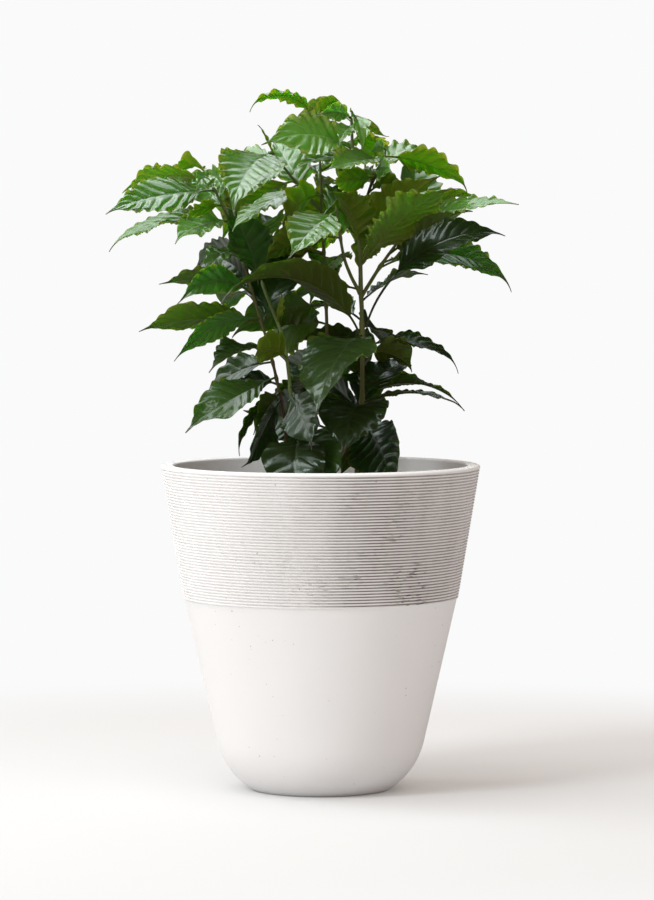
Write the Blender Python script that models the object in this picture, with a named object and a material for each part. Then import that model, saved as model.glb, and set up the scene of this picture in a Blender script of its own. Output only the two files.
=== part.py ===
"""A young coffee plant in a ribbed-band planter, as the pieces it comes apart into.

Five stems stand in the soil of a plastic nursery pot, which stands inside a heavy white planter.
Sizes below are in millimetres and degrees; the meshes are in metres. The origin is the middle of the
planter's flat base, +Z is up and -Y is the plant's front.
"""

import math

import bpy
import numpy as np

MM = 0.001
GAP = 0.3

# Planter: a turned shell with a band of a slightly larger diameter round its upper part.
PLANTER_HEIGHT = 306.0
RIM_RADIUS = 150.0
RIM_CORNER = 3.0
BAND_LOW_Z = 181.0
BAND_LOW_RADIUS = 129.5
BAND_STEP = 1.6
PLANTER_WALL = 12.0
FLOOR_THICKNESS = 18.0
WALL_FOOT_RADIUS = 87.2
CORNER_RADIUS = 70.0
CORNER_START_Z = 45.0
INNER_FLOOR_RADIUS = 70.0
INNER_CORNER_RADIUS = 78.0
INNER_CORNER_Z = 26.0
INNER_WALL_RADIUS = 83.0
PLANTER_SIDES = 64

# Every cutter runs this far past the wall that it cuts.
CUTTER_OVERRUN = 5.0

# Drainage: four holes in the planter's floor, each opening into a shallow groove under the base.
DRAIN_COUNT = 4
DRAIN_HOLE_RADIUS = 7.0
DRAIN_HOLE_SIDES = 16
DRAIN_CIRCLE_RADIUS = 40.0
GROOVE_WIDTH = 14.0
GROOVE_DEPTH = 2.5
GROOVE_START = 30.0
GROOVE_END = 90.0

# Nursery pot: thin blown plastic with a turned-out rim and holes in its floor.
NURSERY_HEIGHT = 232.0
NURSERY_TOP_RADIUS = 118.0
NURSERY_BASE_RADIUS = 66.0
NURSERY_WALL = 1.6
NURSERY_RIM_WIDTH = 4.0
NURSERY_RIM_DROP = 6.0
NURSERY_UNDER_RIM = 2.0
NURSERY_FOOT_CORNER = 3.0
NURSERY_HOLE_RADIUS = 6.0
NURSERY_HOLE_COUNT = 6
NURSERY_SIDES = 48

# Soil: it fills the nursery pot to a little below the rim, and heaps slightly to the middle.
SOIL_BELOW_RIM = 11.0
SOIL_HEAP = 5.0
SOIL_HEAP_SHARE = 0.7
SOIL_SIDE_GAP = 1.0
SOIL_FOOT_CORNER = 5.0
SOIL_SHOULDER_WIDTH = 6.0
SOIL_SHOULDER_DROP = 3.0
ROOT_DEPTH = 60.0
SOCKET_SIDES = 12

# Stems: points (x, y, z) from the root end to the tip, and the radius at each end.
STEM_SIDES = 8
STEM_CLEARANCE = 2.0 * GAP
STEM_LEAN_ALLOWANCE = 1.15
NURSERY_BASE_Z = FLOOR_THICKNESS + GAP
NURSERY_RIM_Z = NURSERY_BASE_Z + NURSERY_HEIGHT
SOIL_Z = NURSERY_RIM_Z - SOIL_BELOW_RIM
ROOT_Z = SOIL_Z - ROOT_DEPTH

STEMS = {
    "main": (
        [(38, 5, ROOT_Z), (38, 5, SOIL_Z), (39, 3, 372), (39, 0, 432), (37, -2, 497)]
        + [(33, 6, 554), (30, 18, 601), (29, 22, 634)],
        3.5,
        1.5,
    ),
    "centre": (
        [(10, 32, ROOT_Z), (10, 32, SOIL_Z), (7, 30, 347), (6, 28, 432), (3, 26, 507)]
        + [(0, 23, 572), (-1, 21, 605), (-3, 20, 633)],
        2.9,
        1.2,
    ),
    "left": (
        [(-28, -8, ROOT_Z), (-28, -8, SOIL_Z), (-32, -6, 329), (-38, -4, 371), (-49, 0, 418)]
        + [(-62, 4, 460), (-76, 5, 507), (-92, 2, 549), (-107, 0, 578)],
        2.7,
        1.2,
    ),
    "front": (
        [(-15, -40, ROOT_Z), (-15, -40, SOIL_Z), (-21, -41, 331), (-27, -42, 368)]
        + [(-33, -38, 420), (-43, -26, 447), (-56, -8, 479)],
        2.5,
        1.3,
    ),
    "back": (
        [(32, 70, ROOT_Z), (32, 70, SOIL_Z), (36, 71, 325), (40, 72, 383), (40, 72, 440)]
        + [(38, 66, 507), (44, 42, 559), (62, 12, 600)],
        3.1,
        1.3,
    ),
}

# Side shoots: the stem that carries each, its points from inside that stem to the tip, and its radii.
SHOOTS = {
    "right_shoot": (
        "main",
        [(38.5, 0, 459), (43, 3, 471), (59, 16, 496), (78, 32, 521), (97, 44, 543)],
        1.8,
        1.1,
    ),
    "left_shoot": (
        "main",
        [(38.5, -1, 459), (34, -4, 471), (23, -12, 496), (18, -22, 522), (14, -28, 549)],
        1.7,
        1.1,
    ),
    "upper_shoot": (
        "centre",
        [(3, 26, 532), (-2, 26, 545), (-22, 22, 569), (-38, 16, 589), (-47, 10, 600)],
        1.5,
        1.0,
    ),
}

# Leaves. A leaf leaves its stem at a height, towards a bearing (0 is +X, 90 is +Y), rising at an angle
# and bending down by a droop over its length. Roll turns its blade about its length.
LEAF_THICKNESS = 1.2
PETIOLE_WIDTH = 2.6
PETIOLE_THICKNESS = 2.0
PETIOLE_SHARE = 0.09
BLADE_BASE_POWER = 0.85
BLADE_TIP_POWER = 1.2
BLADE_CHANNEL = 0.12
LEAF_STATIONS = (0.0, 0.04, 0.09, 0.17, 0.27, 0.39, 0.52, 0.66, 0.79, 0.9, 1.0)

#                 height bearing rise droop length width roll
LEAVES = {
    "main": [
        (346, -67, -26, 31, 97, 59, -57),
        (359, -100, 18, 85, 108, 70, 0),
        (365, -20, 23, 50, 100, 28, 10),
        (412, 15, 10, 64, 52, 39, 34),
        (417, 17, 20, 66, 103, 30, -22),
        (427, -112, -6, 52, 136, 78, 0),
        (432, -152, 62, 102, 172, 68, -20),
        (438, 7, 72, 78, 170, 47, -54),
        (497, -34, 50, 31, 128, 77, 15),
        (506, 12, 57, 23, 102, 58, 68),
        (557, 112, 35, 70, 105, 38, 0),
        (603, -144, 27, 54, 99, 47, 57),
    ],
    "right_shoot": [
        (492, 11, 27, 72, 139, 44, -44),
        (532, 85, 30, 60, 110, 44, 0),
        (539, -25, 17, 22, 98, 33, -25),
    ],
    "left_shoot": [
        (519, -172, 10, 55, 80, 42, -40),
        (543, -125, -17, 29, 81, 52, 20),
    ],
    "centre": [
        (455, 164, -4, 30, 96, 47, -56),
        (487, 85, 30, 70, 115, 46, 0),
        (505, -178, 20, 60, 66, 50, -40),
        (559, -134, -8, 50, 65, 54, -60),
        (573, 100, 35, 75, 100, 42, 0),
        (631, -163, 62, 109, 77, 28, -21),
    ],
    "upper_shoot": [
        (568, -131, -21, 5, 101, 39, 5),
        (598, -110, -3, 46, 127, 62, 16),
        (593, 155, 7, 32, 67, 41, 37),
    ],
    "left": [
        (365, -118, -36, 16, 88, 38, 88),
        (387, -156, -20, 17, 101, 52, 25),
        (402, 144, -7, 34, 89, 38, 54),
        (417, -144, 4, 44, 70, 42, 14),
        (440, -171, 10, 28, 115, 41, -47),
        (443, -146, 4, 50, 104, 25, 88),
        (460, 110, 25, 70, 100, 44, 0),
        (467, -135, 34, 80, 100, 29, 75),
        (471, 164, 20, 38, 87, 35, -36),
        (503, -160, 25, 132, 45, 33, 30),
        (534, -136, 5, 43, 71, 38, 30),
        (534, 169, 13, 51, 123, 38, 30),
        (563, -160, -1, 20, 107, 47, 46),
        (572, 156, 17, 46, 94, 38, -34),
    ],
    "front": [
        (335, -93, -25, 48, 86, 61, -3),
        (343, -45, -39, 32, 81, 56, -65),
        (379, -70, -40, 5, 76, 45, -58),
        (477, 163, 80, 30, 82, 48, 45),
    ],
    "back": [
        (344, 95, 30, 80, 110, 46, 0),
        (367, -38, 31, 70, 126, 23, 34),
        (440, 130, 30, 75, 125, 50, 0),
        (512, 90, 35, 75, 110, 46, 0),
        (572, 110, 25, 60, 90, 40, 0),
        (576, -117, -4, 5, 88, 27, -92),
        (594, -125, -4, 5, 92, 37, 25),
        (595, 14, -1, 38, 90, 38, 40),
    ],
}

# Leaves whose stalk is winged a long way before the blade opens, and the share of the length it takes.
LONG_STALKS = {"leaf_main_08": 0.34}

WHITE_CERAMIC = (0.86, 0.84, 0.82, 1.0)
BLACK_PLASTIC = (0.03, 0.03, 0.03, 1.0)
DARK_SOIL = (0.06, 0.04, 0.025, 1.0)
STEM_GREEN = (0.20, 0.17, 0.07, 1.0)
LEAF_DARK = np.array([0.010, 0.055, 0.012])
LEAF_LIGHT = np.array([0.060, 0.240, 0.030])
LEAF_DARK_Z = 337.0
LEAF_LIGHT_Z = 617.0


def clear_scene():
    """Remove every object of the startup scene."""
    for obj in list(bpy.data.objects):
        bpy.data.objects.remove(obj, do_unlink=True)


def principled(name, colour, roughness):
    """A plain non-metal material of one colour and roughness."""
    material = bpy.data.materials.new(name)
    material.use_nodes = True
    shader = material.node_tree.nodes["Principled BSDF"]
    shader.inputs["Base Color"].default_value = colour
    shader.inputs["Roughness"].default_value = roughness
    shader.inputs["Metallic"].default_value = 0.0
    return material


def add_object(name, points, faces, material):
    """Make a mesh object from points in millimetres and faces that point out."""
    mesh = bpy.data.meshes.new(name)
    mesh.from_pydata([tuple(MM * value for value in point) for point in points], [], faces)
    mesh.validate()
    mesh.materials.append(material)
    obj = bpy.data.objects.new(name, mesh)
    bpy.context.scene.collection.objects.link(obj)
    return obj


def shade(obj, angle):
    """Smooth shading, with edges sharper than the angle left crisp."""
    obj.data.shade_smooth()
    obj.data.set_sharp_from_angle(angle=math.radians(angle))


def turned(name, profile, sides, material):
    """Turn a (radius, z) profile about Z. It starts and ends on the axis and runs counter-clockwise."""
    rings = profile[1:-1]
    angles = (np.arange(sides) + 0.5) * 2.0 * np.pi / sides
    points = [
        (radius * math.cos(angle), radius * math.sin(angle), z)
        for radius, z in rings
        for angle in angles
    ]
    foot, head = len(points), len(points) + 1
    points += [(0.0, 0.0, profile[0][1]), (0.0, 0.0, profile[-1][1])]
    last = (len(rings) - 1) * sides
    faces = []
    for side in range(sides):
        after = (side + 1) % sides
        faces.append((foot, after, side))
        for low in range(0, last, sides):
            high = low + sides
            faces.append((low + side, low + after, high + after, high + side))
        faces.append((head, last + side, last + after))
    return add_object(name, points, faces, material)


def arc(centre, radius, start, end, steps):
    """Points on a circular arc in the (radius, z) plane, both ends included."""
    angles = np.radians(np.linspace(start, end, steps))
    return [(centre[0] + radius * math.cos(a), centre[1] + radius * math.sin(a)) for a in angles]


def cylinder_cutter(name, radius, low, high, place, sides):
    """A hidden upright cylinder that cuts a round hole."""
    cutter = turned(name, [(0, low), (radius, low), (radius, high), (0, high)], sides, None)
    cutter.location = (place[0] * MM, place[1] * MM, 0.0)
    hide_cutter(cutter)
    return cutter


def box_cutter(name, low, high, turn):
    """A hidden box that cuts a straight groove, turned about Z by an angle in degrees."""
    corners = [
        (x, y, z)
        for z in (low[2], high[2])
        for y in (low[1], high[1])
        for x in (low[0], high[0])
    ]
    faces = [(0, 2, 3, 1), (4, 5, 7, 6), (0, 1, 5, 4), (2, 6, 7, 3), (0, 4, 6, 2), (1, 3, 7, 5)]
    cutter = add_object(name, corners, faces, None)
    cutter.rotation_euler = (0.0, 0.0, math.radians(turn))
    hide_cutter(cutter)
    return cutter


def hide_cutter(cutter):
    """Keep a cutter out of the render and of the solids."""
    cutter.hide_render = True
    cutter.display_type = "WIRE"


def cut(obj, cutter):
    """Take a cutter's shape out of an object."""
    modifier = obj.modifiers.new(cutter.name, "BOOLEAN")
    modifier.operation = "DIFFERENCE"
    modifier.object = cutter


def join(obj, other):
    """Join another closed mesh to an object as one solid."""
    modifier = obj.modifiers.new(other.name, "BOOLEAN")
    modifier.operation = "UNION"
    modifier.object = other
    hide_cutter(other)


def circle_places(count, radius, first):
    """(x, y, angle) of places spaced evenly on a circle."""
    for index in range(count):
        angle = first + 360.0 * index / count
        turn = math.radians(angle)
        yield radius * math.cos(turn), radius * math.sin(turn), angle


def build_planter():
    """The heavy outer pot: flat base, round shoulder, tapering wall, raised band and square-edged lip."""
    material = principled("planter_white", WHITE_CERAMIC, 0.6)
    wall_top = BAND_LOW_RADIUS - BAND_STEP
    slope = (wall_top - WALL_FOOT_RADIUS) / BAND_LOW_Z
    lean = math.atan(slope)
    centre_r = WALL_FOOT_RADIUS + slope * CORNER_START_Z - CORNER_RADIUS * math.cos(lean)
    centre_z = CORNER_START_Z + CORNER_RADIUS * math.sin(lean)
    foot_angle = -math.degrees(math.asin(centre_z / CORNER_RADIUS))
    corner = arc((centre_r, centre_z), CORNER_RADIUS, foot_angle, -math.degrees(lean), 9)
    outer = [(0, 0)] + corner + [(wall_top, BAND_LOW_Z), (BAND_LOW_RADIUS, BAND_LOW_Z)]
    rim_centre = (RIM_RADIUS - RIM_CORNER, PLANTER_HEIGHT - RIM_CORNER)
    outer += arc(rim_centre, RIM_CORNER, 0.0, 90.0, 4)
    inner_rim = RIM_RADIUS - PLANTER_WALL
    inner = arc((inner_rim + RIM_CORNER, PLANTER_HEIGHT - RIM_CORNER), RIM_CORNER, 90.0, 180.0, 4)
    inner.append((BAND_LOW_RADIUS - PLANTER_WALL, BAND_LOW_Z))
    inner += [(INNER_WALL_RADIUS, CORNER_START_Z), (INNER_CORNER_RADIUS, INNER_CORNER_Z)]
    inner += [(INNER_FLOOR_RADIUS, FLOOR_THICKNESS), (0, FLOOR_THICKNESS)]
    planter = turned("planter", outer + inner, PLANTER_SIDES, material)
    for number, (x, y, angle) in enumerate(circle_places(DRAIN_COUNT, DRAIN_CIRCLE_RADIUS, 0.0)):
        hole = (DRAIN_HOLE_RADIUS, -CUTTER_OVERRUN, FLOOR_THICKNESS + CUTTER_OVERRUN)
        cut(planter, cylinder_cutter(f"drain_cutter_{number}", *hole, (x, y), DRAIN_HOLE_SIDES))
        low = (GROOVE_START, -GROOVE_WIDTH / 2.0, -CUTTER_OVERRUN)
        high = (GROOVE_END, GROOVE_WIDTH / 2.0, GROOVE_DEPTH)
        cut(planter, box_cutter(f"groove_cutter_{number}", low, high, angle))
    shade(planter, 30)


def build_nursery_pot():
    """The thin plastic pot that the plant was grown in, standing on the planter's floor."""
    material = principled("nursery_plastic", BLACK_PLASTIC, 0.5)
    floor, rim, wall = NURSERY_BASE_Z, NURSERY_RIM_Z, NURSERY_WALL
    base, top, corner = NURSERY_BASE_RADIUS, NURSERY_TOP_RADIUS, NURSERY_FOOT_CORNER
    lip, under_lip = top + NURSERY_RIM_WIDTH, rim - NURSERY_RIM_DROP
    outer = [(0, floor), (base - corner, floor), (base, floor + corner)]
    outer += [(top - NURSERY_UNDER_RIM, under_lip), (lip, under_lip), (lip, rim)]
    inner = [(top - wall, rim), (base - wall, floor + corner + GAP)]
    inner += [(base - corner - GAP, floor + wall), (0, floor + wall)]
    pot = turned("nursery_pot", outer + inner, NURSERY_SIDES, material)
    hole = (NURSERY_HOLE_RADIUS, floor - CUTTER_OVERRUN, floor + wall + CUTTER_OVERRUN)
    for number, (x, y, _) in enumerate(circle_places(NURSERY_HOLE_COUNT, DRAIN_CIRCLE_RADIUS, 30.0)):
        cut(pot, cylinder_cutter(f"pot_hole_cutter_{number}", *hole, (x, y), SOCKET_SIDES))
    shade(pot, 30)


def build_soil():
    """The block of soil inside the nursery pot, with a socket for the lower end of each stem."""
    material = principled("soil", DARK_SOIL, 0.95)
    inset = NURSERY_WALL + SOIL_SIDE_GAP
    slope = (NURSERY_TOP_RADIUS - NURSERY_BASE_RADIUS) / NURSERY_HEIGHT
    top = NURSERY_TOP_RADIUS - inset - slope * SOIL_BELOW_RIM
    foot = NURSERY_BASE_RADIUS - inset
    floor = NURSERY_BASE_Z + NURSERY_WALL + GAP
    profile = [(0, floor), (foot - SOIL_FOOT_CORNER, floor), (foot, floor + SOIL_FOOT_CORNER)]
    profile += [(top, SOIL_Z - SOIL_SHOULDER_DROP), (top - SOIL_SHOULDER_WIDTH, SOIL_Z)]
    profile += [(0.5 * top, SOIL_Z + SOIL_HEAP * SOIL_HEAP_SHARE), (0, SOIL_Z + SOIL_HEAP)]
    soil = turned("soil", profile, NURSERY_SIDES, material)
    for name, (points, low_radius, _) in STEMS.items():
        socket = (low_radius + STEM_CLEARANCE, ROOT_Z - GAP, SOIL_Z + SOIL_HEAP + CUTTER_OVERRUN)
        cut(soil, cylinder_cutter(f"socket_cutter_{name}", *socket, points[0][:2], SOCKET_SIDES))
    shade(soil, 40)


def smooth_path(points, steps_per_span):
    """A curve through the points, by cubic Hermite spans whose tangents join each point's neighbours."""
    points = np.array(points, float)
    tangents = np.gradient(points, axis=0)
    along = np.linspace(0.0, 1.0, steps_per_span, endpoint=False)[:, None]
    path = []
    for index in range(len(points) - 1):
        start, end = points[index], points[index + 1]
        leave, arrive = tangents[index], tangents[index + 1]
        path.append(
            (2 * along**3 - 3 * along**2 + 1) * start
            + (along**3 - 2 * along**2 + along) * leave
            + (3 * along**2 - 2 * along**3) * end
            + (along**3 - along**2) * arrive
        )
    return np.vstack(path + [points[-1:]])


def tube(name, path, low_radius, high_radius, material):
    """A round tube along a path that tapers from one radius to the other, closed at both ends."""
    sides = STEM_SIDES
    tangents = np.gradient(path, axis=0)
    tangents /= np.linalg.norm(tangents, axis=1, keepdims=True)
    across = np.cross(tangents, (0.0, 1.0, 0.0))
    across /= np.linalg.norm(across, axis=1, keepdims=True)
    over = np.cross(tangents, across)
    radii = np.linspace(low_radius, high_radius, len(path))
    angles = np.arange(sides) * 2.0 * np.pi / sides
    points = [
        tuple(centre + radius * (math.cos(angle) * side + math.sin(angle) * up))
        for centre, side, up, radius in zip(path, across, over, radii)
        for angle in angles
    ]
    last = (len(path) - 1) * sides
    faces = [tuple(range(sides))[::-1], tuple(range(last, last + sides))]
    for side in range(sides):
        after = (side + 1) % sides
        for low in range(0, last, sides):
            high = low + sides
            faces.append((low + side, low + after, high + after, high + side))
    return add_object(name, points, faces, material)


def build_stems():
    """Each stem with its side shoots joined to it. Gives every stem's and shoot's path and radii."""
    material = principled("stem_bark", STEM_GREEN, 0.6)
    paths = {}
    stems = {}
    for name, (points, low_radius, high_radius) in STEMS.items():
        path = smooth_path(points, 2)
        stems[name] = tube(f"{name}_stem", path, low_radius, high_radius, material)
        paths[name] = (path, low_radius, high_radius)
    for name, (carrier, points, low_radius, high_radius) in SHOOTS.items():
        path = smooth_path(points, 2)
        join(stems[carrier], tube(name, path, low_radius, high_radius, material))
        paths[name] = (path, low_radius, high_radius)
    for stem in stems.values():
        shade(stem, 50)
    return paths


def foot_on_stem(path, low_radius, high_radius, height, bearing, rise):
    """The point beside a stem, at a height and towards a bearing, where a leaf stalk starts."""
    centre = [np.interp(height, path[:, 2], path[:, axis]) for axis in range(2)]
    share = np.interp(height, path[:, 2], np.linspace(0.0, 1.0, len(path)))
    radius = low_radius + (high_radius - low_radius) * share
    slant = abs(math.sin(rise))
    reach = STEM_LEAN_ALLOWANCE * radius + STEM_CLEARANCE + 0.5 * PETIOLE_THICKNESS * slant
    return np.array([
        centre[0] + reach * math.cos(bearing),
        centre[1] + reach * math.sin(bearing),
        height,
    ])


def leaf_half_width(along, width, stalk):
    """Half the blade's width along its length: a narrow stalk, then an ellipse drawn out to a tip."""
    share = np.clip((along - stalk) / (1.0 - stalk), 0.0, 1.0)
    widest = BLADE_BASE_POWER / (BLADE_BASE_POWER + BLADE_TIP_POWER)
    shape = share**BLADE_BASE_POWER * (1.0 - share) ** BLADE_TIP_POWER
    peak = widest**BLADE_BASE_POWER * (1.0 - widest) ** BLADE_TIP_POWER
    return np.maximum(0.5 * width * shape / peak, 0.5 * PETIOLE_WIDTH)


def leaf_spine(foot, bearing, rise, droop, length, stations):
    """Points and upward normals along an arc that starts at the rise angle and turns down by the droop."""
    angle = rise - droop * stations
    out = (math.sin(rise) - np.sin(angle)) / droop
    up = (np.cos(angle) - math.cos(rise)) / droop
    ahead = np.array([math.cos(bearing), math.sin(bearing), 0.0])
    spine = foot + length * (out[:, None] * ahead + up[:, None] * np.array([0.0, 0.0, 1.0]))
    normals = -np.sin(angle)[:, None] * ahead + np.cos(angle)[:, None] * np.array([0.0, 0.0, 1.0])
    return spine, normals


def build_leaf(name, foot, bearing, rise, droop, length, width, roll, material):
    """A stalk and blade in one: a thin four-cornered section carried along the spine to a pointed tip."""
    stations = np.array(LEAF_STATIONS)
    spine, normals = leaf_spine(foot, bearing, rise, droop, length, stations)
    tangents = np.gradient(spine, axis=0)
    tangents /= np.linalg.norm(tangents, axis=1, keepdims=True)
    sides = np.cross(normals, tangents)
    turn = roll * np.clip(stations / PETIOLE_SHARE / 2.0, 0.0, 1.0)[:, None]
    across = np.cos(turn) * sides - np.sin(turn) * normals
    over = np.cos(turn) * normals + np.sin(turn) * sides
    half = leaf_half_width(stations, width, LONG_STALKS.get(name, PETIOLE_SHARE))[:, None]
    thick = np.where(stations < PETIOLE_SHARE, PETIOLE_THICKNESS, LEAF_THICKNESS)[:, None]
    lift = BLADE_CHANNEL * (half - 0.5 * PETIOLE_WIDTH)
    rings = [
        spine + half * across + lift * over,
        spine + 0.5 * thick * over,
        spine - half * across + lift * over,
        spine - 0.5 * thick * over,
    ]
    rings = np.stack(rings, axis=1)[:-1]
    points = [tuple(point) for point in rings.reshape(-1, 3)] + [tuple(spine[-1])]
    last = 4 * (len(rings) - 1)
    faces = [(3, 2, 1, 0)]
    for side in range(4):
        after = (side + 1) % 4
        for low in range(0, last, 4):
            faces.append((low + side, low + after, low + 4 + after, low + 4 + side))
        faces.append((last + side, last + after, len(points) - 1))
    return add_object(name, points, faces, material)


def leaf_material(height, name):
    """Old leaves low on the plant are dark green, and young ones near the top are light."""
    share = min(max((height - LEAF_DARK_Z) / (LEAF_LIGHT_Z - LEAF_DARK_Z), 0.0), 1.0)
    colour = LEAF_DARK + share * (LEAF_LIGHT - LEAF_DARK)
    return principled(name, (*colour, 1.0), 0.3)


def build_leaves(paths):
    """Every leaf, numbered upwards along the stem or shoot that carries it."""
    for carrier, rows in LEAVES.items():
        for number, (height, *angles, length, width, roll) in enumerate(rows, start=1):
            name = f"leaf_{carrier}_{number:02d}"
            bearing, rise, droop = np.radians(angles)
            foot = foot_on_stem(*paths[carrier], height, bearing, rise)
            material = leaf_material(height, f"{name}_green")
            build_leaf(name, foot, bearing, rise, droop, length, width, math.radians(roll), material)


clear_scene()
build_planter()
build_nursery_pot()
build_soil()
build_leaves(build_stems())
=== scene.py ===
"""A young coffee plant in a ribbed white planter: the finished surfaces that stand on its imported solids."""

import math

import bpy
import numpy as np
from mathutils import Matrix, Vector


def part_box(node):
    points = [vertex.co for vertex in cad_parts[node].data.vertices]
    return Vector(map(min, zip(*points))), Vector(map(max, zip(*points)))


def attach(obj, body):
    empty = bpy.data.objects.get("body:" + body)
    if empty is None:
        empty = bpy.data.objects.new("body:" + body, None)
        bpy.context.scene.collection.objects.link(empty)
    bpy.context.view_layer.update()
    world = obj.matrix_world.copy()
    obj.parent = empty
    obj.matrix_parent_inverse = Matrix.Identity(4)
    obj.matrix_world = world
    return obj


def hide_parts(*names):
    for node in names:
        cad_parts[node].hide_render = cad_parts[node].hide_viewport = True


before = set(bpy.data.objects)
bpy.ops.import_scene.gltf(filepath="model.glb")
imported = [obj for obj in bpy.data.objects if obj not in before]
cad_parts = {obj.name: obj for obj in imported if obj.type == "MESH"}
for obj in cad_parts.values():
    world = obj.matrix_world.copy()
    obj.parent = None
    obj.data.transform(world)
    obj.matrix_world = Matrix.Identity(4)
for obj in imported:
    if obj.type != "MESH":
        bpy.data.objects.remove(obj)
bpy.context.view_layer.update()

# ------------ Studio ------------
# The plant stands alone on a seamless white floor. A large soft lamp lights it from the front left,
# another from the left and a little behind, and a small one from straight above; white cloth all round
# fills the rest.
CAMERA_PLACE = (0.006, -4.26, 0.554)
CAMERA_DOWN_DEG = 3.15
CAMERA_LENS_MM = 181.6
CAMERA_SEES_TO = 60.0
PAPER_WHITE = (0.955, 0.956, 0.957)
WARM_CLOTH = (1.0, 0.895, 0.83)
COOL_CLOTH = (0.92, 0.98, 1.0)
# Least and greatest strength, where it is greatest, and how it fades from there, as cosines of the angle.
ROOM_LIGHT = ((0.46, 0.87), (-0.30, -0.35, 0.89), (-0.25, 1.0))
ROOM_SHINE = ((0.02, 3.00), (-0.30, 0.28, 0.91), (0.66, 0.88))
FLOOR_SIZE = 24.0
FLOOR_PAPER = (0.658, 0.668, 0.680)
FLOOR_GLOW = (1.0, 0.92, 0.82)
FLOOR_LIFT = 0.10
FLOOR_FADE = (0.50, 1.00)


def put_up(name, data, place, turn):
    """A new object in the scene that holds this data."""
    made = bpy.data.objects.new(name, data)
    made.location, made.rotation_euler = place, turn
    bpy.context.scene.collection.objects.link(made)
    return made


def place_camera():
    """One long lens at standing-table height, tilted slightly down."""
    lens = bpy.data.cameras.new("studio_camera")
    lens.lens, lens.clip_end = CAMERA_LENS_MM, CAMERA_SEES_TO
    turn = (math.radians(90.0 - CAMERA_DOWN_DEG), 0.0, 0.0)
    bpy.context.scene.camera = put_up("studio_camera", lens, CAMERA_PLACE, turn)


def soft_lamp(name, place, aim, size, power, colour):
    """A rectangular cloth-fronted lamp that faces the aim point."""
    lamp = bpy.data.lights.new(name, "AREA")
    lamp.shape, lamp.energy, lamp.color = "RECTANGLE", power, colour
    lamp.size, lamp.size_y = size
    away = np.array(place) - np.array(aim)
    turn = math.atan2(away[1], away[0]) + math.pi / 2.0
    lean = math.atan2(math.hypot(away[0], away[1]), away[2])
    put_up(name, lamp, place, (lean, 0.0, turn))


def fill(made, inputs):
    """Give a node's inputs a value or another node's output; _0, _1 and so on name them by number."""
    for name, value in inputs.items():
        socket = made.inputs[int(name[1:]) if name[0] == "_" else name.replace("_", " ")]
        if isinstance(value, bpy.types.NodeSocket):
            made.id_data.links.new(value, socket)
        else:
            socket.default_value = (*value, 1.0) if socket.type == "RGBA" else value


def node(tree, kind, settings=None, **inputs):
    """A new shader node of this kind, with its settings and its inputs."""
    made = tree.nodes.new(f"ShaderNode{kind}")
    for name, value in (settings or {}).items():
        setattr(made, name, value)
    fill(made, inputs)
    return made


def maths(tree, operation, *values):
    """The output of a Math node that works on these values."""
    inputs = {f"_{number}": value for number, value in enumerate(values)}
    return node(tree, "Math", {"operation": operation}, **inputs).outputs[0]


def times(tree, first, second):
    """The product of two values."""
    return maths(tree, "MULTIPLY", first, second)


def spread(tree, value, low, high, least=0.0, most=1.0, curve="LINEAR"):
    """A value's run from low to high carried over to least to most, and held at the ends."""
    ends = {"From_Min": low, "From_Max": high, "To_Min": least, "To_Max": most}
    return node(tree, "MapRange", {"interpolation_type": curve}, Value=value, **ends).outputs[0]


def blend(tree, factor, first, second, how="MIX"):
    """The first colour turned into the second by a factor."""
    settings = {"data_type": "RGBA", "blend_type": how}
    return node(tree, "Mix", settings, _0=factor, _6=first, _7=second).outputs[2]


def start_material(name):
    """A new material and its node tree, which holds one shader."""
    material = bpy.data.materials.new(name)
    material.use_nodes = True
    return material, material.node_tree


def mesh_object(name, points, quads, triangles, materials, slots=None):
    """Put whole arrays of points and faces into a smooth-shaded mesh, whose object sits at the origin."""
    mesh = bpy.data.meshes.new(name)
    mesh.vertices.add(len(points))
    mesh.vertices.foreach_set("co", np.asarray(points, np.float32).ravel())
    loops = np.concatenate([np.ravel(quads), np.ravel(triangles)]).astype(np.int32)
    sizes = np.repeat([4, 3], [len(quads), len(triangles)])
    mesh.loops.add(len(loops))
    mesh.loops.foreach_set("vertex_index", loops)
    mesh.polygons.add(len(sizes))
    mesh.polygons.foreach_set("loop_start", (np.cumsum(sizes) - sizes).astype(np.int32))
    for material in materials:
        mesh.materials.append(material)
    if slots is not None:
        mesh.polygons.foreach_set("material_index", slots.astype(np.int32))
    mesh.update(calc_edges=True)
    mesh.validate()
    mesh.shade_smooth()
    return put_up(name, mesh, (0.0, 0.0, 0.0), (0.0, 0.0, 0.0))


def light_the_room():
    """White cloth all round: plain white to the eye, brightest high up, where glossy skin mirrors a patch.

    Strength is its least value plus a smooth step of how far the direction turns to the bright corner.
    """
    world = bpy.data.worlds.new("studio_room")
    bpy.context.scene.world = world
    world.use_nodes = True
    tree = world.node_tree
    tree.nodes.clear()
    ray = node(tree, "LightPath").outputs
    direction = node(tree, "TexCoord").outputs["Generated"]
    strengths = []
    for strength, corner, fade in (ROOM_LIGHT, ROOM_SHINE):
        towards = node(tree, "VectorMath", {"operation": "DOT_PRODUCT"}, _0=direction, _1=corner)
        strengths.append(spread(tree, towards.outputs["Value"], *fade, *strength, "SMOOTHSTEP"))
    light, shine = strengths
    glossy = times(tree, ray["Is Glossy Ray"], maths(tree, "SUBTRACT", shine, light))
    cloth = blend(tree, ray["Is Glossy Ray"], WARM_CLOTH, COOL_CLOTH)
    felt = node(tree, "Background", Color=cloth, Strength=maths(tree, "ADD", light, glossy))
    seen = node(tree, "Background", Color=PAPER_WHITE, Strength=1.0)
    mixed = node(tree, "MixShader", _0=ray["Is Camera Ray"], _1=felt.outputs[0], _2=seen.outputs[0])
    node(tree, "OutputWorld", Surface=mixed.outputs[0])


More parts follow.
